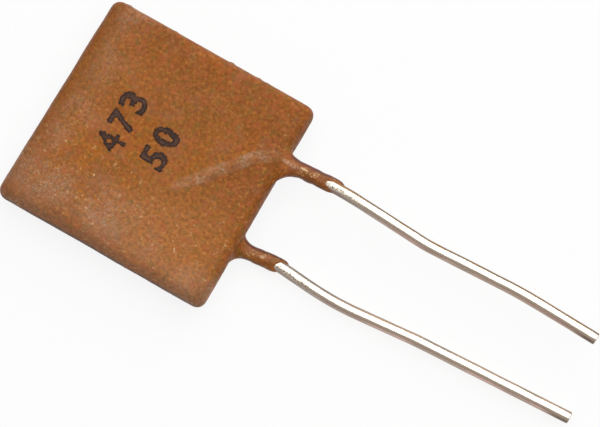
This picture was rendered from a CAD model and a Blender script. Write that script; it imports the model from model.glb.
"""Looks of a dipped ceramic plate capacitor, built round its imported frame.

Every new piece is modelled at one unit to the millimetre and brought to metres when
it is finished. +X is the way the wires point, +Z is the printed front.
"""

from math import atan2, ceil, cos, pi, radians, sin, sqrt
from typing import NamedTuple

import bmesh
import bpy
from mathutils import Matrix, Vector
from mathutils.kdtree import KDTree


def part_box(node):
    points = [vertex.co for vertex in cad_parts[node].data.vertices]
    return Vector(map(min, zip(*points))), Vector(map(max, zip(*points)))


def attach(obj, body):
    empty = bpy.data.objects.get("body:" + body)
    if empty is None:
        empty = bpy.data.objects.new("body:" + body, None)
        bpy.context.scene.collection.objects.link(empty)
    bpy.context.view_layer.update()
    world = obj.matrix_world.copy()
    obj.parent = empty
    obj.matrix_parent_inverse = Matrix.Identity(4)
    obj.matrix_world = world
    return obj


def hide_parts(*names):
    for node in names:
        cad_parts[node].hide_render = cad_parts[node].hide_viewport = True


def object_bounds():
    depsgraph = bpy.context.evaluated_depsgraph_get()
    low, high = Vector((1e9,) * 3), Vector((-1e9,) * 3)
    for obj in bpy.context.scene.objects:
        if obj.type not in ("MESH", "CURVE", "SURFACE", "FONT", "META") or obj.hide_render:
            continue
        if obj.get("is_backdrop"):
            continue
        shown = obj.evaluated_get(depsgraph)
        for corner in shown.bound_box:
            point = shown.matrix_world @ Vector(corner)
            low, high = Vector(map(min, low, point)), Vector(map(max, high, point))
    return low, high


bl_info = {
    "name": "Ceramic plate capacitor looks",
    "version": (1, 0, 0),
    "blender": (4, 5, 0),
    "location": "3D View > Sidebar > Capacitor",
    "description": "Models the dipped coat, wires and printed marks of a plate capacitor",
    "category": "Add Mesh",
}

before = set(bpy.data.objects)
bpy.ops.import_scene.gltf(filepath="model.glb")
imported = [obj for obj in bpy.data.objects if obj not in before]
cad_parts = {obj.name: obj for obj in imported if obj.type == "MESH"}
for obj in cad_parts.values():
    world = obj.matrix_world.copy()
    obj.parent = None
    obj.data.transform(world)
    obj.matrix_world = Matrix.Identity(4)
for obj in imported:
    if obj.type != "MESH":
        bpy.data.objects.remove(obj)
CAD_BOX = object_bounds()

MM = 0.001  # one modelling unit, in metres


def in_mm(point):
    """A place of the frame, given in metres, in millimetres."""
    return Vector(point) / MM


# ------------------------------ places from the frame
PLATE_LOW, PLATE_HIGH = map(in_mm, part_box("ceramic_plate"))
FRONT_LOW, FRONT_HIGH = map(in_mm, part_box("front_lead"))
BACK_LOW, BACK_HIGH = map(in_mm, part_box("back_lead"))
EDGE_COVER = 0.65  # resin past each edge of the plate
MIDDLE = (PLATE_LOW + PLATE_HIGH) / 2
HALF_L = (PLATE_HIGH.x - PLATE_LOW.x) / 2 + EDGE_COVER
HALF_W = (PLATE_HIGH.y - PLATE_LOW.y) / 2 + EDGE_COVER
HALF_T = 0.95  # half the body's thickness
SHOULDER = 0.6  # how far in the rounded edge of each flat face reaches
EDGE_X = MIDDLE.x + HALF_L
WIRE_R = (FRONT_HIGH.z - FRONT_LOW.z) / 2
FRONT_Z = (FRONT_LOW.z + FRONT_HIGH.z) / 2
BACK_Z = (BACK_LOW.z + BACK_HIGH.z) / 2


class Path(NamedTuple):
    """One wire's way: where it leaves the body and how it heads there, its legs and end.

    A leg is a straight run, the turn after it in degrees, and the bend's radius.
    """

    exit_at: Vector
    heading: float
    legs: list
    reach: float


FRONT_PATH = Path(
    Vector((EDGE_X, 2.71, FRONT_Z)), radians(3.2),
    [(4.3, 3.2 - 51, 2.4), (1.6, -6.6, 24.0), (3.5, 6.0, 8.0), (4.0, -4.5, 24.0)],
    FRONT_HIGH.x,
)
BACK_PATH = Path(
    Vector((EDGE_X, -2.13, BACK_Z)), radians(5.7),
    [(3.2, 5.7 + 51, 2.4), (2.0, -10.7, 3.0), (1.5, 10.2, 16.0), (3.2, -2.4, 12.0)],
    BACK_HIGH.x,
)


# ------------------------------ modelling tools
def pick(obj):
    """Leaves one object selected and active."""
    bpy.ops.object.select_all(action="DESELECT")
    obj.select_set(True)
    bpy.context.view_layer.objects.active = obj


def edit(obj):
    """Starts work on an object's points, with none selected."""
    pick(obj)
    bpy.ops.object.mode_set(mode="EDIT")
    bpy.ops.mesh.select_mode(type="VERT")
    bpy.ops.mesh.select_all(action="DESELECT")


def choose(obj, test):
    """Selects the points whose place passes a test, in edit mode."""
    mesh = bmesh.from_edit_mesh(obj.data)
    for point in mesh.verts:
        point.select = bool(test(point.co))
    mesh.select_flush_mode()
    bmesh.update_edit_mesh(obj.data)


def finish_edit(close=True):
    """Closes open ends, turns the faces outwards and leaves edit mode."""
    bpy.ops.mesh.select_all(action="SELECT")
    if close:
        bpy.ops.mesh.fill_holes(sides=0)
        bpy.ops.mesh.select_all(action="SELECT")
    bpy.ops.mesh.normals_make_consistent(inside=False)
    bpy.ops.object.mode_set(mode="OBJECT")


def fix_place():
    """Moves an object's place, turn and size into its mesh."""
    bpy.ops.object.transform_apply(location=True, rotation=True, scale=True)


def push(step):
    """Extrudes what is selected by one step."""
    bpy.ops.mesh.extrude_region_move(TRANSFORM_OT_translate={"value": tuple(step)})


def squeeze(scale, centre):
    """Scales what is selected about a centre."""
    bpy.ops.transform.resize(value=tuple(scale), center_override=tuple(centre))


def pull_out(obj, test, step, spread):
    """Moves the points that pass a test, and softly those within a spread of them."""
    edit(obj)
    choose(obj, test)
    bpy.ops.transform.translate(
        value=step, use_proportional_edit=True, proportional_edit_falloff="SMOOTH",
        proportional_size=spread,
    )
    bpy.ops.object.mode_set(mode="OBJECT")


def ring(name, at, heading, half_width, half_height, points):
    """A ring of points that faces along a heading; its object becomes active."""
    bpy.ops.object.select_all(action="DESELECT")
    bpy.ops.mesh.primitive_circle_add(
        vertices=points, radius=1, fill_type="NOTHING", rotation=(0, pi / 2, 0)
    )
    obj = bpy.context.object
    obj.name = name
    fix_place()
    obj.scale = (1, half_width, half_height)
    obj.rotation_euler = (0, 0, heading)
    obj.location = at
    fix_place()
    return obj


def stations_tube(name, stations, points):
    """A closed tube along +X through stations of (x, y, z, half width, half height)."""
    x, y, z, wide, high = stations[0]
    obj = ring(name, (x, y, z), 0, wide, high, points)
    edit(obj)
    bpy.ops.mesh.select_all(action="SELECT")
    for x2, y2, z2, wide2, high2 in stations[1:]:
        push((x2 - x, y2 - y, z2 - z))
        squeeze((1, wide2 / wide, high2 / high), (x2, y2, z2))
        x, y, z, wide, high = x2, y2, z2, wide2, high2
    return obj


def direction(heading):
    """One millimetre along a heading."""
    return Vector((cos(heading), sin(heading), 0))


def left_of(heading):
    """One millimetre to the left of a heading."""
    return Vector((-sin(heading), cos(heading), 0))


def bend_centre(at, heading, turn, radius):
    """The centre of a bend that starts or ends at a point; left for a positive turn."""
    return at + left_of(heading) * (radius if turn > 0 else -radius)


def sweep(at, heading, legs, step):
    """Carries the selected ring along legs; returns where it ends and its heading."""
    at = Vector(at)
    for run, turn, bend_r in legs:
        pieces = ceil(run / step)
        for _ in range(pieces):
            push((run / pieces * cos(heading), run / pieces * sin(heading), 0))
        at += direction(heading) * run
        if turn:
            centre = bend_centre(at, heading, turn, bend_r)
            bpy.ops.mesh.spin(
                steps=max(2, ceil(abs(radians(turn)) * bend_r / step)),
                angle=abs(radians(turn)),
                center=tuple(centre),
                axis=(0, 0, -1 if turn > 0 else 1),
                use_auto_merge=False,
            )
            at = centre + Matrix.Rotation(radians(turn), 3, "Z") @ (at - centre)
            heading += radians(turn)
    return at, heading


def path_start(path):
    """Where a wire's inner end lies, and its heading there."""
    run, turn, bend_r = path.legs[0]
    heading = path.heading - radians(turn)
    centre = bend_centre(path.exit_at, path.heading, turn, bend_r)
    back = Matrix.Rotation(-radians(turn), 3, "Z")
    return centre + back @ (path.exit_at - centre) - direction(heading) * run, heading


def use(obj, kind, **settings):
    """Adds one modifier with its settings and applies it."""
    pick(obj)
    modifier = obj.modifiers.new(kind.lower(), kind)
    for key, value in settings.items():
        setattr(modifier, key, value)
    bpy.ops.object.modifier_apply(modifier=modifier.name)


def roughen(obj, name, lumps, strength, level=0.5, **settings):
    """Moves an object's faces in and out by a solid noise with lumps of one size."""
    texture = bpy.data.textures.new(name, "CLOUDS")
    texture.noise_scale = lumps
    texture.noise_depth = 2
    use(obj, "DISPLACE", texture=texture, strength=strength, mid_level=level,
        texture_coords="LOCAL", **settings)


def weigh(obj, name, weight):
    """A vertex group whose weight at each point comes from the point's place."""
    group = obj.vertex_groups.new(name=name)
    for point in obj.data.vertices:
        share = weight(point.co)
        if share > 0:
            group.add([point.index], min(1.0, share), "REPLACE")
    return group.name


def joined(*objects):
    """Joins objects into the first."""
    pick(objects[0])
    for obj in objects:
        obj.select_set(True)
    bpy.ops.object.join()
    return bpy.context.object


def to_metres(obj, name):
    """Brings a finished piece from millimetres to metres."""
    pick(obj)
    obj.name = name
    obj.data.name = name
    obj.scale = (MM, MM, MM)
    fix_place()


def number_at_points(obj, name, values):
    """Stores a number at each point, for the finishes."""
    attribute = obj.data.attributes.new(name, "FLOAT", "POINT")
    attribute.data.foreach_set("value", values)


def hand_over(obj, finish, slot, *nodes):
    """Gives a finished piece its material, its body and the nodes it stands for."""
    obj.data.materials.clear()
    obj.data.materials.append(finish)
    pick(obj)
    bpy.ops.object.shade_smooth()
    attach(obj, "root")
    if nodes:
        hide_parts(*nodes)


def smooth_step(low, high, value):
    """0 below low, 1 above high, and smooth between them."""
    t = max(0.0, min(1.0, (value - low) / (high - low)))
    return t * t * (3 - 2 * t)


# ------------------------------ shader tools
class Number:
    """A number that varies over a surface, for use in sums."""

    def __init__(self, finish, socket):
        self.finish = finish
        self.socket = socket

    def sum_with(self, operation, first, second):
        """One Math node on two numbers, either of them a plain one."""
        return self.finish.node(
            "ShaderNodeMath", {"operation": operation}, {0: first, 1: second}
        )

    def __add__(self, other):
        return self.sum_with("ADD", self, other)

    __radd__ = __add__

    def __sub__(self, other):
        return self.sum_with("SUBTRACT", self, other)

    def __rsub__(self, other):
        return self.sum_with("SUBTRACT", other, self)

    def __mul__(self, other):
        return self.sum_with("MULTIPLY", self, other)

    __rmul__ = __mul__

    def clear_of(self, low, high):
        """0 below low, 1 above high, and smooth between them."""
        return self.finish.node(
            "ShaderNodeMapRange",
            {"interpolation_type": "SMOOTHSTEP"},
            {"Value": self, "From Min": low, "From Max": high},
            "Result",
        )

    def most(self, other):
        """The larger of two numbers."""
        return self.sum_with("MAXIMUM", self, other)


class Finish:
    """A material under construction."""

    def __init__(self, name, **constants):
        self.material = bpy.data.materials.new(name)
        self.material.use_nodes = True
        self.tree = self.material.node_tree
        self.shader = self.tree.nodes["Principled BSDF"]
        for socket, value in constants.items():
            self.shader.inputs[socket.replace("_", " ")].default_value = value

    def set(self, node, key, value):
        """Links a varying value to one socket of a node, or sets a plain one."""
        if isinstance(value, Number):
            self.tree.links.new(value.socket, node.inputs[key])
        else:
            node.inputs[key].default_value = value

    def node(self, kind, settings, inputs, output=0):
        """Adds a node: its settings first, then its sockets. Returns one output."""
        node = self.tree.nodes.new(kind)
        for key, value in settings.items():
            setattr(node, key, value)
        for key, value in inputs.items():
            self.set(node, key, value)
        return Number(self, node.outputs[output])

    def place(self, scale=(1, 1, 1), centre=(0, 0, 0)):
        """The point on the surface in millimetres, about a centre, and stretched."""
        scale = Vector(scale)
        shift = -Vector(centre) * scale
        here = self.node("ShaderNodeTexCoord", {}, {}, "Object")
        return self.node(
            "ShaderNodeMapping",
            {"vector_type": "POINT"},
            {"Vector": here, "Location": shift, "Scale": scale / MM},
        )

    def parts(self, place):
        """The three numbers of a point."""
        return [
            self.node("ShaderNodeSeparateXYZ", {}, {"Vector": place}, axis) for axis in "XYZ"
        ]

    def noise(self, place, size, detail=2.0, roughness=0.5):
        """A soft noise from 0 to 1 with lumps of about one size, in millimetres."""
        return self.node(
            "ShaderNodeTexNoise",
            {},
            {"Vector": place, "Scale": 1 / size, "Detail": detail, "Roughness": roughness},
        )

    def mix(self, share, first, second):
        """A colour that goes from first to second as share goes from 0 to 1."""
        return self.node(
            "ShaderNodeMix", {"data_type": "RGBA"}, {0: share, 6: first, 7: second}, 2
        )

    def attribute(self, name):
        """A number that was stored at the points of the piece."""
        return self.node("ShaderNodeAttribute", {"attribute_name": name}, {}, "Fac")

    def ray(self, kind):
        """1 for one kind of ray, 0 for the others."""
        return self.node("ShaderNodeLightPath", {}, {}, f"Is {kind} Ray")

    def bump(self, height, depth):
        """Relief of one depth in millimetres."""
        return self.node("ShaderNodeBump", {}, {"Height": height, "Distance": depth * MM})

    def done(self, **varying):
        """Links what varies to the shader, and returns the material."""
        for socket, value in varying.items():
            self.set(self.shader, socket.replace("_", " "), value)
        return self.material


class Layers:
    """A colour built up layer by layer on one finish, each over those before it."""

    def __init__(self, finish, colour):
        self.finish = finish
        self.colour = colour

    def cover(self, share, colour):
        """Lays a colour over the rest, as far as its share goes from 0 to 1."""
        self.colour = self.finish.mix(share, self.colour, colour)

    def lay(self, share, red, green, blue):
        """Lays a colour given in display numbers."""
        self.cover(share, paint(red, green, blue))


def paint(red, green, blue):
    """A colour written in display numbers from 0 to 255, as Blender's linear colour."""
    def linear(v):
        v /= 255
        return v / 12.92 if v <= 0.04045 else ((v + 0.055) / 1.055) ** 2.4

    return (linear(red), linear(green), linear(blue), 1.0)


# ------------------------------ what a user sets
class CoatLook(bpy.types.PropertyGroup):
    """Sizes and colours of the dipped coat."""

    corner: bpy.props.FloatProperty(
        name="Corner", description="Radius of the body's corners",
        default=0.5 * MM, min=0.1 * MM, max=1.5 * MM, precision=5, subtype="DISTANCE",
    )
    voxel: bpy.props.FloatProperty(
        name="Mesh size", description="Size of the coat's faces",
        default=0.072 * MM, min=0.04 * MM, max=0.2 * MM, precision=6, subtype="DISTANCE",
    )
    ridge: bpy.props.FloatProperty(
        name="Ridge", description="Radius of the coat over a buried wire",
        default=0.5 * MM, min=0.3 * MM, max=0.8 * MM, precision=5, subtype="DISTANCE",
    )
    neck: bpy.props.FloatProperty(
        name="Neck", description="Radius of the coat on a wire outside the body",
        default=0.43 * MM, min=0.36 * MM, max=0.7 * MM, precision=5, subtype="DISTANCE",
    )
    colour: bpy.props.FloatVectorProperty(
        name="Resin", description="Main colour of the resin", subtype="COLOR", size=4,
        min=0, max=1, default=paint(152, 82, 6),
    )


class WireLook(bpy.types.PropertyGroup):
    """Sizes and colours of the wires."""

    step: bpy.props.FloatProperty(
        name="Ring distance", description="Distance between a wire's rings of points",
        default=0.2 * MM, min=0.05 * MM, max=1 * MM, precision=5, subtype="DISTANCE",
    )
    colour: bpy.props.FloatVectorProperty(
        name="Tin", description="Colour of the clean tinned wire", subtype="COLOR", size=4,
        min=0, max=1, default=paint(222, 215, 200),
    )


class MarkLook(bpy.types.PropertyGroup):
    """Size and colour of the printed marks."""

    height: bpy.props.FloatProperty(
        name="Height", description="Height of a digit",
        default=1.48 * MM, min=0.8 * MM, max=3 * MM, precision=5, subtype="DISTANCE",
    )
    colour: bpy.props.FloatVectorProperty(
        name="Ink", description="Colour of the ink", subtype="COLOR", size=4,
        min=0, max=1, default=paint(32, 18, 12),
    )


# ------------------------------ the coat
CORNER_STEPS = 6
SHOULDER_STEPS = 8

# A buried wire's ridge, as shares of its radius: its width, its height at its inner
# end, and the steps that round that end. Each growth is how much a step widens it.
RIDGE_WIDTH = 1.1
RIDGE_LOW = 0.86
NOSE_STEP = 0.4
NOSE_GROWTH = (2.1, 1.19)
RIDGE_POINTS = 24
RIDGE_STEPS = 8  # over the first half of its run, where it rises to its full height
RIDGE_STEP = 0.2

# The body's rounded wall lies this far inside its edge where the necks leave it.
WALL_INSET = 0.15
NECK_POINTS = 28
# Where a neck's rings stand, past the body's edge; after them, one each NECK_STEP.
NECK_RINGS = (-1.1, -0.5, -0.3, -WALL_INSET, -0.12, -0.06, 0.02, 0.12, 0.25, 0.4, 0.6, 0.8, 1.0)
NECK_STEP = 0.2
ROOT_LENGTH = 0.8  # how far out a neck's root thins down to its radius
LIP_LENGTH = 0.55
# How a neck thins towards its end: share of the lip, and how much less than the
# neck's radius; then how far it sinks under the wire's surface.
LIP_THINNING = ((0.25, 0), (0.5, 0.02), (0.75, 0.055), (0.9, 0.085))
LIP_TUCK = ((1.0, 0.02), (1.1, 0.08))
RAG_SPREAD = 0.4
ROOT_SOFTNESS = (0.5, 1.5)  # smoothed fully and not at all, this far from a wire's exit
NEAR = 1e-4


class NeckShape(NamedTuple):
    """A neck's length, its radius at the root, its fillets and its ragged end.

    The fillets are the radii on its +Y and -Y side. A rag is an angle from the top
    towards +Y, a half width, both in degrees, and how far the end runs out there.
    """

    length: float
    root: float
    upper_r: float
    lower_r: float
    rags: list


FRONT_NECK = NeckShape(2.72, 0.47, 0.55, 1.15, [(75, 30, 0.5), (0, 25, -0.45), (-90, 25, 0.2)])
BACK_NECK = NeckShape(2.42, 0.47, 0.8, 0.65, [(60, 35, 0.3), (-10, 25, -0.4)])

# Small nibs along the edges: distance from the middle, side and height.
NIBS = [(-5.15, 1, 0.05), (-2.4, 1, 0.03), (0.95, 1, 0.06), (2.55, 1, 0.05), (3.1, 1, 0.03),
        (-4.6, -1, 0.04), (1.8, -1, 0.03)]
NIB_LIFT = 0.15  # how far over the middle of the wall a nib stands
NIB_REACH = 0.07  # the points pulled out fully
NIB_SPREAD = 0.22  # those that follow them


def slab(corner):
    """The dipped body: its outline pulled in step by step towards each flat face."""
    bpy.ops.object.select_all(action="DESELECT")
    bpy.ops.mesh.primitive_plane_add(size=2, location=MIDDLE)
    obj = bpy.context.object
    obj.scale = (HALF_L, HALF_W, 1)
    fix_place()
    edit(obj)
    bpy.ops.mesh.select_all(action="SELECT")
    bpy.ops.mesh.bevel(offset=corner, segments=CORNER_STEPS, affect="VERTICES")
    height, inset = 0.0, 0.0
    for i in range(1, SHOULDER_STEPS + 1):
        angle = pi / 2 * i / SHOULDER_STEPS
        height2, inset2 = HALF_T * sin(angle), SHOULDER * (1 - cos(angle))
        push((0, 0, height2 - height))
        squeeze(
            ((HALF_L - inset2) / (HALF_L - inset), (HALF_W - inset2) / (HALF_W - inset), 1),
            MIDDLE + Vector((0, 0, height2)),
        )
        height, inset = height2, inset2
    choose(obj, lambda p: p.z < MIDDLE.z + NEAR)
    bpy.ops.mesh.delete(type="ONLY_FACE")
    finish_edit(close=False)
    middle = bpy.data.objects.new("mirror_place", None)
    bpy.context.scene.collection.objects.link(middle)
    middle.location = MIDDLE
    use(obj, "MIRROR", use_axis=(False, False, True), mirror_object=middle,
        use_mirror_merge=True, merge_threshold=0.001)
    bpy.data.objects.remove(middle)
    return obj


def ridge(path, radius):
    """The coat over a buried wire: broad and low, and sinking at its inner end."""
    start, heading = path_start(path)
    ahead = direction(heading)
    wide, high = radius * RIDGE_WIDTH, radius * RIDGE_LOW
    nose = start - ahead * wide * NOSE_STEP * len(NOSE_GROWTH)
    obj = ring("ridge", nose, heading, wide * NOSE_STEP, high * NOSE_STEP, RIDGE_POINTS)
    edit(obj)
    bpy.ops.mesh.select_all(action="SELECT")
    for left, growth in zip((1, 0), NOSE_GROWTH):
        push(ahead * wide * NOSE_STEP)
        squeeze((growth,) * 3, start - ahead * wide * NOSE_STEP * left)
    run, turn, bend_r = path.legs[0]
    for i in range(1, RIDGE_STEPS + 1):
        share = i / RIDGE_STEPS
        higher = radius * (RIDGE_LOW + (1 - RIDGE_LOW) * smooth_step(0, 1, share))
        push(ahead * run * 0.5 / RIDGE_STEPS)
        squeeze((1, 1, higher / high), start + ahead * run * 0.5 * share)
        high = higher
    sweep(start + ahead * run * 0.5, heading, [(run * 0.5, turn, bend_r)], RIDGE_STEP)
    finish_edit()
    return obj


def neck(path, radius, shape):
    """A neck with its concave flare at the body and a ragged outer end."""
    def flare(s, bend):
        past = s + WALL_INSET
        if past < 0:
            return bend * max(0.0, 1 + 3 * past)
        return bend - sqrt(bend * bend - (bend - min(past, bend)) ** 2)

    places = list(NECK_RINGS)
    while places[-1] + NECK_STEP < shape.length - LIP_LENGTH:
        places.append(places[-1] + NECK_STEP)
    last = places[-1]
    stations = []
    for s in places:
        up, low = flare(s, shape.upper_r), flare(s, shape.lower_r)
        wall = radius + (shape.root - radius) * (1 - smooth_step(0, ROOT_LENGTH, s))
        stations.append((s, (up - low) / 2, 0, wall + (up + low) / 2, wall))
    lip = [(share, radius - less) for share, less in LIP_THINNING]
    lip += [(share, WIRE_R - sunk) for share, sunk in LIP_TUCK]
    for share, wall in lip:
        stations.append((last + (shape.length - last) * share, 0, 0, wall, wall))
    obj = stations_tube("neck", stations, NECK_POINTS)
    finish_edit()
    for angle, width, reach in shape.rags:
        def chosen(p):
            away = (atan2(p.y, p.z) - radians(angle) + pi) % (2 * pi) - pi
            return abs(away) < radians(width) and p.x > last - 0.05

        pull_out(obj, chosen, (reach, 0, 0), RAG_SPREAD)
    pick(obj)
    obj.rotation_euler = (0, 0, path.heading)
    obj.location = path.exit_at
    fix_place()
    return obj


class CAPACITOR_OT_coat(bpy.types.Operator):
    """Model the dipped coat with its ridges and necks"""

    bl_idname = "capacitor.coat"
    bl_label = "Coat"

    def execute(self, context):
        look = context.scene.coat_look
        coat = joined(
            slab(look.corner / MM),
            ridge(FRONT_PATH, look.ridge / MM),
            ridge(BACK_PATH, look.ridge / MM),
            neck(FRONT_PATH, look.neck / MM, FRONT_NECK),
            neck(BACK_PATH, look.neck / MM, BACK_NECK),
        )
        use(coat, "REMESH", mode="VOXEL", voxel_size=look.voxel / MM)
        use(coat, "SMOOTH", factor=0.5, iterations=6)
        soft_part = weigh(coat, "soft", self.softness)
        use(coat, "SMOOTH", factor=0.5, iterations=45, vertex_group=soft_part)
        roughen(coat, "sag", lumps=2.2, strength=0.05)
        neck_part = weigh(coat, "necks", lambda p: smooth_step(EDGE_X + 0.2, EDGE_X + 0.8, p.x))
        roughen(coat, "drips", lumps=0.7, strength=0.09, vertex_group=neck_part)
        roughen(coat, "skin", lumps=0.28, strength=0.016)
        coat.vertex_groups.clear()
        self.raise_nibs(coat)
        normals = [n.vector.copy() for n in coat.data.vertex_normals]
        number_at_points(coat, "facing", [n.z for n in normals])
        number_at_points(coat, "across", [n.y for n in normals])
        to_metres(coat, "dipped_coat")
        hand_over(coat, resin_finish(look), "coat", "coat")
        return {"FINISHED"}

    def softness(self, p):
        """How much a point is smoothed: the roots of the necks and the ridge's feet."""
        roots = max(
            1 - smooth_step(*ROOT_SOFTNESS, (p - path.exit_at).length)
            for path in (FRONT_PATH, BACK_PATH)
        )
        upper = smooth_step(HALF_T - 0.1, HALF_T, p.z - MIDDLE.z)
        return max(roots, upper * (1 - smooth_step(EDGE_X - 1.0, EDGE_X - 0.3, p.x)))

    def raise_nibs(self, coat):
        """Pulls small nibs of resin out of the edges."""
        for x, side, height in NIBS:
            root = MIDDLE + Vector((x, side * HALF_W, NIB_LIFT))
            pull_out(coat, lambda p: (p - root).length < NIB_REACH, (0, side * height, 0),
                     NIB_SPREAD)


def oval(x, y, middle, half):
    """1 inside a small oval seen from above, fading to 0 around it."""
    along, over = (x - middle[0]) * (1 / half[0]), (y - middle[1]) * (1 / half[1])
    return 1 - (along * along + over * over).clear_of(0.5, 1.5)


class Resin(Layers):
    """The masks and colours of the coat, with places in millimetres from MIDDLE."""

    def __init__(self, look):
        finish = Finish("dipped_resin", IOR=1.5, Specular_IOR_Level=0.22)
        super().__init__(finish, look.colour)
        self.place = finish.place(centre=MIDDLE)
        self.x, self.y, self.z = finish.parts(self.place)
        self.facing = finish.attribute("facing")
        self.across = finish.attribute("across")
        self.mottle = finish.noise(self.place, 0.6, 3.0, 0.6)
        self.grain = finish.noise(self.place, 0.19, 2.0, 0.6)
        self.dust = finish.noise(self.place, 0.08, 1.0)
        self.crumb = finish.noise(self.place, 0.15, 2.0)
        self.blush = self.other_noise((9, 4, 2), 1.8)
        self.sleeve = self.x.clear_of(6.0, 6.6)

    def other_noise(self, centre, size):
        """A noise that has nothing to do with the rest."""
        return self.finish.noise(self.finish.place(centre=centre), size, 2.0)

    def tones(self):
        """Broad changes of tone over the body."""
        x, y = self.x, self.y
        self.lay(self.mottle.clear_of(0.35, 0.65), 170, 96, 6)
        patches = self.finish.noise(self.place, 2.6, 3.0)
        self.lay(patches.clear_of(0.38, 0.6) * 0.5, 136, 82, 22)
        rich_end = x.clear_of(2.5, 5.5) * y.clear_of(-2.5, 0.5)
        self.lay(rich_end.most(y.clear_of(3.0, 5.5) * 0.8) * 0.55, 130, 64, 4)
        pale_end = x.clear_of(-2.0, 2.0) * (1 - y.clear_of(-4.0, 0.5)) * (1 - x.clear_of(4.5, 6.0))
        self.lay(pale_end * 0.7, 186, 116, 54)
        self.lay(self.blush.clear_of(0.48, 0.66) * 0.3, 170, 98, 46)
        near_edge = (0 - self.across).clear_of(0.1, 0.6) * (1 - x.clear_of(5.0, 6.0))
        self.lay(near_edge * self.facing.clear_of(0.0, 0.4) * 0.4, 186, 130, 90)
        turned = 1 - self.facing.clear_of(0.1, 0.95)
        self.lay(turned * 0.4, 104, 56, 30)

    def grains(self):
        """Dark and light grains, tinted specks, and flecks on the lower half."""
        self.lay(self.grain.clear_of(0.44, 0.74) * 0.62, 104, 58, 14)
        self.lay((1 - self.grain).clear_of(0.5, 0.74) * 0.6, 194, 124, 46)
        olive = self.finish.noise(self.place, 0.32, 2.0)
        self.lay(olive.clear_of(0.5, 0.68) * 0.5, 120, 92, 26)
        red = self.other_noise((3, 7, 1), 0.3)
        self.lay(red.clear_of(0.5, 0.68) * 0.5, 172, 86, 40)
        mauve = self.other_noise((6, 1, 8), 0.9)
        self.lay(mauve.clear_of(0.52, 0.7) * 0.25, 152, 100, 70)
        fleck = self.other_noise((-5, 2, 4), 0.17)
        low_half = 0.15 + 0.5 * (1 - self.y.clear_of(-4, 1))
        low_half = low_half * (0.3 + self.mottle.clear_of(0.45, 0.6))
        self.lay(fleck.clear_of(0.6, 0.74) * low_half, 212, 172, 122)

    def dirt(self):
        """The darker underside, and a dark line along the waist of the -Y wall."""
        under = 1 - self.facing.clear_of(-0.3, 0.35)
        self.lay(under * 0.5, 86, 56, 42)
        waist = self.facing.clear_of(-0.4, -0.2) * (1 - self.facing.clear_of(0.12, 0.35))
        low_rim = (0 - self.across).clear_of(0.8, 0.95) * waist
        low_rim = low_rim * (1 - self.x.clear_of(5.0, 6.0)) * self.mottle.clear_of(0.3, 0.5)
        self.lay(low_rim * 0.7, 44, 28, 26)

    def haze(self):
        """Pale dusty patches near the edges, and the worn crest of the ridge."""
        x, y = self.x, self.y
        low = y.clear_of(-5.7, -4.6) * (1 - y.clear_of(-4.6, -1.5)) * (1 - x.clear_of(-1, 4.5))
        left = x.clear_of(-5.6, -4.8) * (1 - x.clear_of(-4.8, -2.5)) * 0.6
        corner = x.clear_of(3.4, 4.8) * (1 - y.clear_of(-5.0, -3.8)) * 0.9
        haze = low.most(left).most(corner) * (0.3 + self.blush.clear_of(0.35, 0.65) * 0.7)
        crumbs = self.dust.clear_of(0.4, 0.65) * 0.35 + self.crumb.clear_of(0.5, 0.68) * 0.3
        self.lay(haze * (0.08 + crumbs), 190, 160, 136)
        film = (1 - y.clear_of(-5.3, -4.0)) * self.facing.clear_of(0.3, 0.7)
        self.lay(film * 0.14, 142, 118, 106)
        left_rim = 1 - x.clear_of(-5.6, -4.4)
        self.lay(left_rim * 0.35, 122, 70, 26)
        crest = self.z.clear_of(HALF_T + 0.02, HALF_T + 0.12) * (1 - x.clear_of(4.6, 5.8))
        worn = self.other_noise((1, 1, 1), 0.7).clear_of(0.4, 0.65)
        self.lay(crest * (0.1 + worn * self.crumb.clear_of(0.35, 0.6) * 0.5), 190, 152, 124)

    def necks(self):
        """A rubbed streak, chips and small beads on the necks, and their dark edges."""
        x, y = self.x, self.y
        streak = x.clear_of(5.6, 6.0) * (1 - x.clear_of(6.4, 7.3)) * y.clear_of(2.5, 2.6) \
            * (1 - y.clear_of(2.7, 2.82)) * self.facing.clear_of(0.5, 0.8)
        self.lay(streak * self.dust.clear_of(0.35, 0.55) * 0.7, 206, 160, 128)
        self.lay(self.sleeve * 0.35, 158, 96, 58)
        chips = self.dust.clear_of(0.5, 0.58) * self.mottle.clear_of(0.56, 0.6)
        self.lay(chips * self.sleeve * self.facing.clear_of(0.6, 0.9) * 0.8, 226, 186, 130)
        front_bead = oval(x, y, (6.98, 2.77), (0.22, 0.055))
        back_bead = oval(x, y, (7.3, -2.02), (0.13, 0.08)) * 0.7
        bead = front_bead.most(back_bead) * self.facing.clear_of(0.2, 0.6)
        self.lay(bead * 0.85, 230, 196, 146)
        upper_edge = self.across.clear_of(0.25, 0.65)
        lower_edge = (0 - self.across).clear_of(0.7, 0.95) * 0.4
        self.lay(x.clear_of(5.8, 6.3) * upper_edge.most(lower_edge) * 0.85, 92, 44, 30)

    def done(self):
        """Adds relief and gloss, and returns the material."""
        relief = self.finish.bump(self.grain + self.dust * 0.6, 0.03)
        roughness = 0.42 + self.grain * 0.25 - self.sleeve * 0.36
        return self.finish.done(Base_Color=self.colour, Roughness=roughness, Normal=relief)


def resin_finish(look):
    """Brown-orange dipped resin: granular, blotched, hazed and flecked."""
    resin = Resin(look)
    resin.tones()
    resin.grains()
    resin.dirt()
    resin.haze()
    resin.necks()
    return resin.done()


# ------------------------------ the wires
WIRE_POINTS = 32
CUT_BEVEL = 0.03  # how long the cut end's bevel is
CUT_SHARE = 0.93  # how wide it leaves the end
TIP = (1.4, 0.5)  # where the wire's tip starts to darken and is dark, before its end
LINE_STEP = 0.05
LAST_RUN = 40  # longer than any wire runs past its last bend


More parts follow.
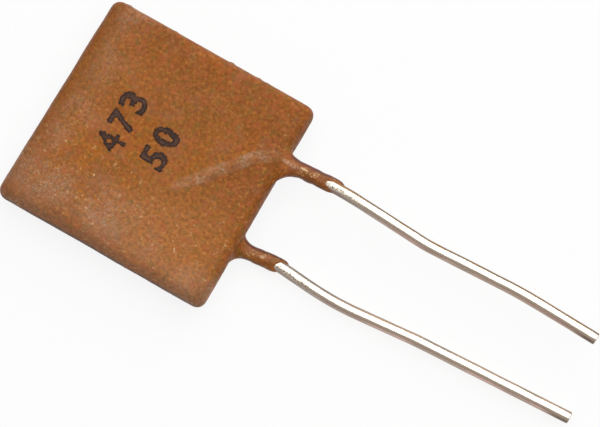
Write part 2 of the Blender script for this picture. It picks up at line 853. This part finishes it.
def wire(name, path, step):
    """A wire from its soldered end to its cut end."""
    start, heading = path_start(path)
    obj = ring(name, start, heading, WIRE_R, WIRE_R, WIRE_POINTS)
    edit(obj)
    bpy.ops.mesh.select_all(action="SELECT")
    at, heading = sweep(start, heading, path.legs, step)
    last = (path.reach - at.x - WIRE_R * abs(sin(heading))) / cos(heading)
    at, heading = sweep(at, heading, [(last - CUT_BEVEL, 0, 1)], step)
    bevel = direction(heading) * CUT_BEVEL
    push(bevel)
    squeeze((CUT_SHARE,) * 3, at + bevel)
    bpy.ops.object.vertex_group_assign_new()
    finish_edit()
    return obj


def centre_line(path):
    """Points along a wire, each with its heading and its distance past the body."""
    at, heading = path_start(path)
    points = []
    travelled = -(path.legs[0][0] + abs(radians(path.legs[0][1])) * path.legs[0][2])
    for run, turn, bend_r in [*path.legs, (LAST_RUN, 0, 1)]:
        for length, bend in ((run, 0), (abs(radians(turn)) * bend_r, radians(turn))):
            pieces = max(1, ceil(length / LINE_STEP))
            for _ in range(pieces):
                if at.x > path.reach or not length:
                    break
                points.append((at.copy(), heading, travelled))
                heading += bend / pieces / 2
                at += direction(heading) * length / pieces
                heading += bend / pieces / 2
                travelled += length / pieces
    return points


def record_sides(obj, line):
    """Stores how far each point lies round and along the wire, for its finish."""
    tree = KDTree(len(line))
    for i, (at, _, _) in enumerate(line):
        tree.insert(at, i)
    tree.balance()
    stored = {"side": [], "top": [], "along": [], "tip": [], "cut": []}
    whole = line[-1][2]
    for point in obj.data.vertices:
        at, heading, travelled = line[tree.find(point.co)[1]]
        offset = point.co - at
        stored["side"].append(offset.dot(left_of(heading)) / WIRE_R)
        stored["top"].append(offset.z / WIRE_R)
        stored["along"].append(travelled)
        stored["tip"].append(smooth_step(whole - TIP[0], whole - TIP[1], travelled))
        stored["cut"].append(float(len(point.groups) > 0))
    for name, values in stored.items():
        number_at_points(obj, name, values)
    obj.vertex_groups.clear()


class CAPACITOR_OT_wires(bpy.types.Operator):
    """Model the two tinned wires with their bends and cut ends"""

    bl_idname = "capacitor.wires"
    bl_label = "Wires"

    def execute(self, context):
        look = context.scene.wire_look
        for name, node, path, warmth in (
            ("front_wire", "front_lead", FRONT_PATH, 1.0),
            ("back_wire", "back_lead", BACK_PATH, 0.25),
        ):
            obj = wire(name, path, look.step / MM)
            record_sides(obj, centre_line(path))
            roughen(obj, name + "_dents", lumps=1.1, strength=0.02)
            to_metres(obj, name)
            hand_over(obj, tin_finish(look, name, warmth), "tinned_copper", node)
        return {"FINISHED"}


def tin_finish(look, name, warmth):
    """Bright tinned wire, tarnished along its flanks and rough beside its neck.

    Warmth says how brown the upper flank is, from 0 to 1.
    """
    finish = Finish(name + "_tin", Metallic=1.0)
    place = finish.place()
    side = finish.attribute("side")
    top = finish.attribute("top")
    past_body = finish.attribute("along")
    wander = finish.noise(place, 1.6, 2.0) - 0.5
    streaks = finish.noise(finish.place(scale=(0.25, 4, 4)), 0.3, 2.0)
    stains = finish.noise(finish.place(scale=(0.5, 3, 3), centre=(4, 0, 0)), 1.0, 3.0)
    scuffs = finish.noise(place, 0.12, 2.0)
    tone = finish.noise(finish.place(scale=(0.5, 2, 2), centre=(7, 0, 0)), 1.1, 2.0)
    tone = tone.clear_of(0.42, 0.58)
    low_flank = (0 - side + wander * 0.25).clear_of(0.6, 0.8) * top.clear_of(-0.6, -0.2)
    high_flank = (side + wander * 0.3).clear_of(0.36, 0.52) * top.clear_of(0.1, 0.45)
    far = past_body.clear_of(3.0, 9.0)
    crust = 1 - past_body.clear_of(2.8, 5.5)

    high = Layers(finish, finish.mix(warmth, paint(152, 140, 132), paint(142, 112, 82)))
    high.lay(far * (1 - warmth), 184, 156, 134)
    high.lay(tone * 0.6, 128, 120, 108)
    low = Layers(finish, finish.mix(far, paint(176, 166, 160), paint(220, 182, 170)))
    low.lay(stains.clear_of(0.45, 0.6) * 0.6, 164, 132, 126)
    low.lay(tone * 0.6, 176, 164, 148)
    low.lay((0 - side).clear_of(0.78, 0.95) * 0.5, 136, 124, 106)
    low.lay(finish.attribute("tip") * 0.8, 92, 80, 66)
    tin = Layers(finish, look.colour)
    tin.lay(streaks.clear_of(0.4, 0.7) * 0.25, 222, 214, 204)
    tin.cover(low_flank, low.colour)
    tin.cover(high_flank, high.colour)
    lower = side.clear_of(-0.7, -0.4) * (1 - side.clear_of(-0.2, 0.1))
    tin.lay(crust * lower * scuffs.clear_of(0.5, 0.58) * 0.8, 104, 88, 72)
    tin.lay(finish.attribute("cut") * 0.8, 168, 112, 84)

    roughness = 0.16 + streaks * 0.1 + low_flank * 0.12 + crust * (0.1 + warmth * 0.2)
    relief = finish.bump(scuffs * (0.15 + crust * 0.85), 0.03)
    return finish.done(Base_Color=tin.colour, Roughness=roughness, Normal=relief)


# ------------------------------ the marks
# Each digit: its baseline along X and its middle along Y, both from MIDDLE, its
# turn in degrees, and how much bolder it is struck. The 4 is struck twice.
DIGITS = (
    ("4", -1.54, -0.94, 2, 0.0), ("4", -1.48, -0.87, 2, 0.0), ("7", -1.50, 0.28, -1, 0.045),
    ("3", -1.52, 1.50, 3, 0.035), ("5", 0.84, -0.55, -2, 0.04), ("0", 0.82, 0.73, 2, 0.045),
)
DIGIT_WIDTH = 0.98
INK_MESH = 0.04
SLAB_LIFT = 1.0  # how far over the coat the digits are made, before they are laid on it
SLAB_HALF = 0.1
SLAB_RIM = 0.08  # points this far from both faces of the slab are its outline
FILM_TOP = 0.008  # how far the ink stands proud of the coat
FILM_BOTTOM = -0.004


class CAPACITOR_OT_marks(bpy.types.Operator):
    """Print the plain value digits on the front of the coat"""

    bl_idname = "capacitor.marks"
    bl_label = "Marks"

    def execute(self, context):
        look = context.scene.mark_look
        marks = joined(*(self.strike(*digit, look.height / MM) for digit in DIGITS))
        use(marks, "REMESH", mode="VOXEL", voxel_size=INK_MESH)
        roughen(marks, "stamp", lumps=0.3, strength=0.12, level=0.42)
        self.store_cover(marks)
        to_metres(marks, "printed_marks")
        self.lay_on(marks, bpy.data.objects["dipped_coat"])
        hand_over(marks, ink_finish(look), "ink")
        return {"FINISHED"}

    def strike(self, digit, baseline, y, turn, bolder, height):
        """One digit as a thick slab over the coat, its top towards -X."""
        bpy.ops.object.select_all(action="DESELECT")
        bpy.ops.object.text_add()
        obj = bpy.context.object
        obj.data.body = digit
        obj.data.align_x = "CENTER"
        obj.data.size = 1
        obj.data.offset = bolder
        obj.data.extrude = SLAB_HALF
        bpy.ops.object.convert(target="MESH")
        low = min(p.co.y for p in obj.data.vertices)
        high = max(p.co.y for p in obj.data.vertices)
        left = min(p.co.x for p in obj.data.vertices)
        right = max(p.co.x for p in obj.data.vertices)
        grow = height / (high - low)
        obj.scale = (DIGIT_WIDTH / (right - left), grow, 1)
        fix_place()
        obj.rotation_euler = (0, 0, pi / 2 + radians(turn))
        obj.location = MIDDLE + Vector((baseline + low * grow, y, HALF_T + SLAB_LIFT))
        fix_place()
        return obj

    def store_cover(self, marks):
        """Stores how far each point lies inside the outline of its digit."""
        heights = [p.co.z for p in marks.data.vertices]
        top, bottom = max(heights), min(heights)
        sides = [p.co for p in marks.data.vertices
                 if bottom + SLAB_RIM < p.co.z < top - SLAB_RIM]
        tree = KDTree(len(sides))
        for i, co in enumerate(sides):
            tree.insert((co.x, co.y, 0), i)
        tree.balance()
        cover = [tree.find((p.co.x, p.co.y, 0))[2] for p in marks.data.vertices]
        number_at_points(marks, "cover", cover)

    def lay_on(self, marks, coat):
        """Presses the film onto the coat, with its upper face just proud of it."""
        heights = [p.co.z for p in marks.data.vertices]
        middle = (max(heights) + min(heights)) / 2
        faces = {
            weigh(marks, "upper", lambda p: float(p.z >= middle)): FILM_TOP,
            weigh(marks, "lower", lambda p: float(p.z < middle)): FILM_BOTTOM,
        }
        for group, proud in faces.items():
            use(marks, "SHRINKWRAP", target=coat, wrap_method="PROJECT", use_project_z=True,
                use_negative_direction=True, use_positive_direction=False,
                wrap_mode="ABOVE_SURFACE", offset=proud * MM, vertex_group=group)
        marks.vertex_groups.clear()


def ink_finish(look):
    """Stamped ink, thin and broken along its outline."""
    finish = Finish("stamp_ink", Specular_IOR_Level=0.2)
    place = finish.place()
    wear = finish.noise(place, 0.3, 2.0)
    fine = finish.noise(place, 0.08, 2.0)
    cover = finish.attribute("cover")
    strength = cover.clear_of(0.0, 0.1) + (wear - 0.5) * 3 + (fine - 0.5) * 1.6
    alpha = strength.clear_of(-0.2, 0.7) * 0.92
    thin = cover.clear_of(0.06, 0.13) * (0.3 + wear.clear_of(0.4, 0.6) * 0.7)
    colour = finish.mix(thin, look.colour, paint(84, 56, 44))
    return finish.done(Base_Color=colour, Alpha=alpha, Roughness=0.5 + fine * 0.2)


# ------------------------------ the pieces inside
class CAPACITOR_OT_inside(bpy.types.Operator):
    """Finish the plate, electrodes and solder that the coat holds"""

    bl_idname = "capacitor.inside"
    bl_label = "Inside"

    def execute(self, context):
        finishes = {
            "ceramic_plate": ceramic_finish(),
            "front_electrode": silver_finish(),
            "back_electrode": silver_finish(),
            "front_solder": solder_finish(),
            "back_solder": solder_finish(),
        }
        for node, finish in finishes.items():
            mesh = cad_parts[node].data
            mesh.materials.clear()
            mesh.materials.append(finish)
        return {"FINISHED"}


def ceramic_finish():
    """Pale fired ceramic with fine pores."""
    finish = Finish("fired_ceramic")
    place = finish.place()
    cloud = finish.noise(place, 1.5, 3.0)
    pores = finish.noise(place, 0.06, 1.0)
    colour = finish.mix(cloud.clear_of(0.3, 0.7), paint(214, 198, 170), paint(196, 178, 148))
    return finish.done(Base_Color=colour, Roughness=0.6 + pores * 0.2,
                       Normal=finish.bump(pores, 0.006))


def silver_finish():
    """Fired-on silver, matt and slightly yellowed."""
    finish = Finish("fired_silver", Metallic=1.0)
    place = finish.place()
    brushed = finish.noise(finish.place(scale=(1, 5, 1)), 0.4, 2.0)
    stains = finish.noise(place, 1.8, 2.0)
    colour = finish.mix(stains.clear_of(0.45, 0.7) * 0.5, paint(222, 220, 214),
                        paint(198, 184, 156))
    return finish.done(Base_Color=colour, Roughness=0.38 + brushed * 0.2,
                       Normal=finish.bump(brushed, 0.004))


def solder_finish():
    """Soft solder with frosted patches."""
    finish = Finish("soft_solder", Metallic=1.0)
    place = finish.place()
    frost = finish.noise(place, 0.35, 3.0)
    colour = finish.mix(frost.clear_of(0.4, 0.7), paint(196, 196, 198), paint(160, 160, 164))
    return finish.done(Base_Color=colour, Roughness=0.22 + frost * 0.3,
                       Normal=finish.bump(frost, 0.01))


# ------------------------------ the stage
# The camera looks at AIM from a distance in metres; its angles are in radians.
AIM = Vector((-1.585, 0.888, 1.12)) * MM
CAMERA_DISTANCE = 0.10227494
CAMERA_TILT = 0.21666284
CAMERA_AZIMUTH = 0.22147611
CAMERA_ROLL = 0.52550507
LENS = 120.0
SENSOR = 36.0
CLIP = (0.005, 20)

FLOOR_SIZE = 4
FLOOR_DEPTH = 0.04
FLOOR_GLOW = 0.85  # the share of plain white in the floor, where rays see it directly
WORLD_LIGHT = 0.25  # the backdrop's strength as a lamp; it is 1 where it is seen

# The dim card stands beside the part. It starts as a plane one metre wide and high,
# and CARD_SIZE scales that along X and Z.
CARD_AT = (0, -0.17, 0.201)
CARD_SIZE = (0.8, 1, 0.4)
CARD_THICK = 0.002

# Each lamp: its name, place, aim, width, height and brightness.
LAMPS = (
    ("overhead_light", (0, 0.16, 0.36), (0, 0.16, 0), 0.62, 0.6, 1.3),
    ("side_light", (0, 0.5, 0.25), (0, 0, 0.03), 0.9, 0.42, 0.8),
    ("spark_light", (0.05, 0.42, 0.22), (0, 0, 0), 0.08, 0.08, 8.0),
)


def place_camera():
    """Puts the camera above the part, tilted a little towards -Y, and rolled."""
    back = Vector((
        sin(CAMERA_TILT) * sin(CAMERA_AZIMUTH),
        -sin(CAMERA_TILT) * cos(CAMERA_AZIMUTH),
        cos(CAMERA_TILT),
    ))
    level = Vector((0, 1, 0)).cross(back).normalized()
    above = back.cross(level)
    right = level * cos(CAMERA_ROLL) + above * sin(CAMERA_ROLL)
    up = above * cos(CAMERA_ROLL) - level * sin(CAMERA_ROLL)
    bpy.ops.object.camera_add()
    camera = bpy.context.object
    camera.name = "camera"
    turned = Matrix((right, up, back)).transposed().to_4x4()
    camera.matrix_world = Matrix.Translation(AIM + back * CAMERA_DISTANCE) @ turned
    camera.data.lens = LENS
    camera.data.sensor_width = SENSOR
    camera.data.clip_start, camera.data.clip_end = CLIP
    bpy.context.scene.camera = camera


def soft_light(name, at, aim, width, height, radiance):
    """A flat soft light of one brightness over its whole face."""
    bpy.ops.object.light_add(type="AREA", location=at)
    lamp = bpy.context.object
    lamp.name = name
    lamp.data.shape = "RECTANGLE"
    lamp.data.size = width
    lamp.data.size_y = height
    lamp.data.energy = radiance * pi * width * height
    lamp.rotation_euler = (Vector(aim) - Vector(at)).to_track_quat("-Z", "Y").to_euler()


def thicken(obj, step):
    """Gives a flat piece its thickness."""
    edit(obj)
    bpy.ops.mesh.select_all(action="SELECT")
    push(step)
    finish_edit()


def dark_card():
    """A dim card that only glossy surfaces see, to give the wires a darker flank."""
    bpy.ops.object.select_all(action="DESELECT")
    bpy.ops.mesh.primitive_plane_add(size=1, rotation=(pi / 2, 0, 0))
    card = bpy.context.object
    card.name = "dark_card"
    fix_place()
    card.scale = CARD_SIZE
    card.location = CARD_AT
    fix_place()
    thicken(card, (0, -CARD_THICK, 0))
    card.data.materials.append(card_finish())
    card.visible_camera = False
    card.visible_diffuse = False
    card.visible_transmission = False
    card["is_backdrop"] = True


def card_finish():
    """Dim and self-lit, so that no lamp changes what the wires reflect."""
    finish = Finish("dim_card", Roughness=0.9, Specular_IOR_Level=0.0)
    fibre = finish.noise(finish.place(), 4.0, 2.0)
    glow = finish.mix(fibre, paint(176, 164, 158), paint(166, 154, 148))
    return finish.done(Base_Color=(0, 0, 0, 1), Emission_Color=glow, Emission_Strength=1.0)


def lay_floor():
    """The pale floor that the part lies on."""
    bpy.ops.object.select_all(action="DESELECT")
    bpy.ops.mesh.primitive_plane_add(size=FLOOR_SIZE)
    floor = bpy.context.object
    floor.name = "floor"
    thicken(floor, (0, 0, -FLOOR_DEPTH))
    floor.data.materials.append(floor_finish())
    floor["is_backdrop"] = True


def floor_finish():
    """Pale matt floor that still takes a soft shadow."""
    finish = Finish("pale_floor", Specular_IOR_Level=0.1, Roughness=0.9)
    fibre = finish.noise(finish.place(), 1.5, 2.0)
    colour = finish.mix(fibre, paint(252, 252, 252), paint(255, 255, 255))
    finish.done(Base_Color=colour)
    seen = finish.ray("Camera").most(finish.ray("Glossy")).most(finish.ray("Transmission"))
    matt = Number(finish, finish.shader.outputs[0])
    glow = finish.node("ShaderNodeEmission", {}, {"Strength": 1.0})
    blend = finish.node(
        "ShaderNodeMixShader", {}, {0: seen * FLOOR_GLOW, 1: matt, 2: glow}
    )
    finish.set(finish.tree.nodes["Material Output"], 0, blend)
    return finish.material


class Backdrop(Finish):
    """The world's light under construction."""

    def __init__(self, name):
        self.world = bpy.data.worlds.new(name)
        self.world.use_nodes = True
        self.tree = self.world.node_tree
        self.shader = self.tree.nodes["Background"]


def studio():
    """Plain white where it is seen or mirrored, and a weak light everywhere else."""
    backdrop = Backdrop("studio")
    seen = backdrop.ray("Camera").most(backdrop.ray("Glossy"))
    strength = backdrop.node(
        "ShaderNodeMapRange", {}, {"Value": seen, "To Min": WORLD_LIGHT, "To Max": 1.0}
    )
    backdrop.set(backdrop.shader, "Color", (1, 1, 1, 1))
    backdrop.set(backdrop.shader, "Strength", strength)
    return backdrop.world


class CAPACITOR_OT_stage(bpy.types.Operator):
    """Set the pale floor, the soft lights and the camera"""

    bl_idname = "capacitor.stage"
    bl_label = "Stage"

    def execute(self, context):
        lay_floor()
        dark_card()
        for lamp in LAMPS:
            soft_light(*lamp)
        context.scene.world = studio()
        place_camera()
        context.scene.view_settings.view_transform = "Standard"
        return {"FINISHED"}


class CAPACITOR_PT_panel(bpy.types.Panel):
    """Lists the steps that build the part's looks"""

    bl_label = "Capacitor"
    bl_idname = "CAPACITOR_PT_panel"
    bl_space_type = "VIEW_3D"
    bl_region_type = "UI"
    bl_category = "Capacitor"

    def draw(self, context):
        for look in LOOKS:
            group = getattr(context.scene, look)
            for key in group.__annotations__:
                self.layout.prop(group, key)
        for operator in OPERATORS:
            self.layout.operator(operator.bl_idname)


LOOKS = {"coat_look": CoatLook, "wire_look": WireLook, "mark_look": MarkLook}
OPERATORS = (
    CAPACITOR_OT_wires,
    CAPACITOR_OT_coat,
    CAPACITOR_OT_marks,
    CAPACITOR_OT_inside,
    CAPACITOR_OT_stage,
)


def register():
    for kind in (*LOOKS.values(), *OPERATORS, CAPACITOR_PT_panel):
        bpy.utils.register_class(kind)
    for name, kind in LOOKS.items():
        setattr(bpy.types.Scene, name, bpy.props.PointerProperty(type=kind))


def unregister():
    for name in LOOKS:
        delattr(bpy.types.Scene, name)
    for kind in (CAPACITOR_PT_panel, *OPERATORS, *LOOKS.values()):
        bpy.utils.unregister_class(kind)


def main():
    register()
    bpy.ops.capacitor.wires()
    bpy.ops.capacitor.coat()
    bpy.ops.capacitor.marks()
    bpy.ops.capacitor.inside()
    bpy.ops.capacitor.stage()
    boxes = {"cad": CAD_BOX, "visual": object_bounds()}
    {name: [list(corner) for corner in box] for name, box in boxes.items()}


if __name__ == "__main__":
    main()
